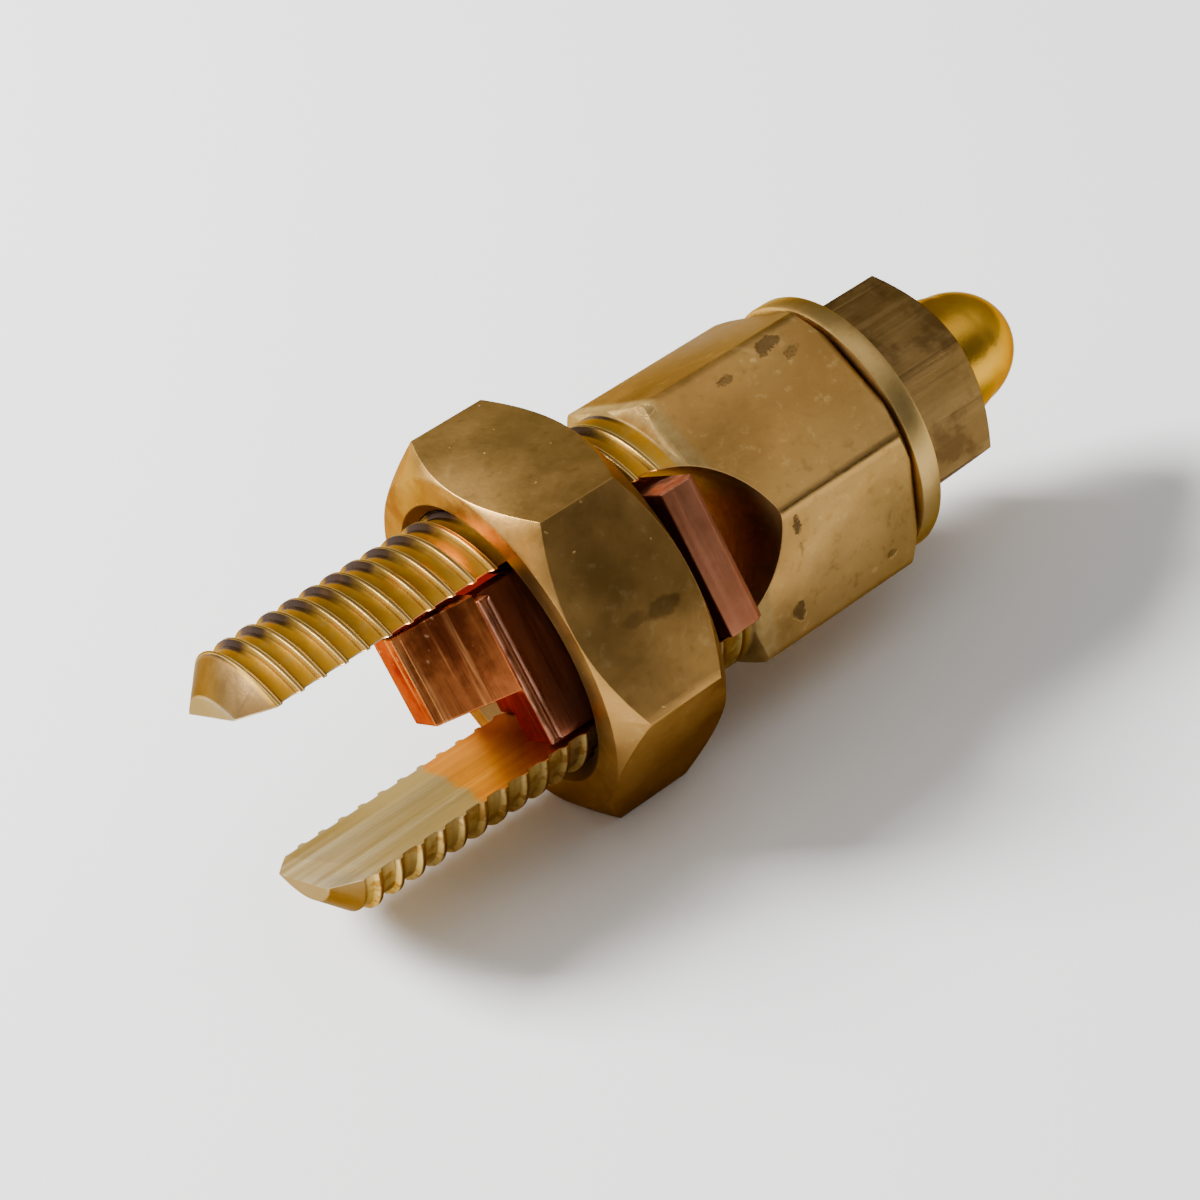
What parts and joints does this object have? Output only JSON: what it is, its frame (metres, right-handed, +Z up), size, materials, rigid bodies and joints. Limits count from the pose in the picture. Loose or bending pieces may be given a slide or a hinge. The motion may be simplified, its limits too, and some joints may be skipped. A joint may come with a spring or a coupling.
{
  "type": "split bolt connector",
  "caption": "Brass split bolt connector with a hex body, a clamp nut that carries a captive copper pressure bar, and a threaded service stud with washer and nut.",
  "frame": {"origin": "centre of the hex body's stud face, where a lug seats on the stud", "axes": "+X along the bolt from the leg tips to the stud's tip; +Z up with the part lying on a flat of its clamp nut"},
  "size_m": [0.0536, 0.0238, 0.0206],
  "materials": {
    "bolt_brass": "cast and machined brass",
    "nut_brass": "dull machined brass",
    "bar_copper": "brushed copper",
    "washer_brass": "plain brass",
    "stud_nut_brass": "scratched dull brass"
  },
  "bodies": {
    "bolt": {"bolt": "bolt_brass"},
    "pressure_bar": {"pressure_bar": "bar_copper"},
    "clamp_nut": {"clamp_nut": "nut_brass"},
    "stud_washer": {"stud_washer": "washer_brass"},
    "stud_nut": {"stud_nut": "stud_nut_brass"}
  },
  "joints": [
    {"name": "bar_slide", "type": "slide", "parent": "bolt", "child": "pressure_bar", "axis": [1, 0, 0], "range_m": [-0.012, 0.0006]},
    {"name": "clamp_nut_turn", "type": "hinge", "parent": "pressure_bar", "child": "clamp_nut", "pos_m": [-0.0199, 0, 0], "axis": [1, 0, 0], "range_deg": [-3201, 161]},
    {"name": "washer_slide", "type": "slide", "parent": "bolt", "child": "stud_washer", "axis": [1, 0, 0], "range_m": [0, 0.0044]},
    {"name": "stud_nut_turn", "type": "hinge", "parent": "stud_washer", "child": "stud_nut", "pos_m": [0.0046, 0, 0], "axis": [1, 0, 0], "range_deg": [0, 1268]}
  ],
  "couplings": [
    {"joint": "clamp_nut_turn", "follows": "bar_slide", "rad_per_m": 4654.2},
    {"joint": "stud_nut_turn", "follows": "washer_slide", "rad_per_m": 5026.5}
  ]
}
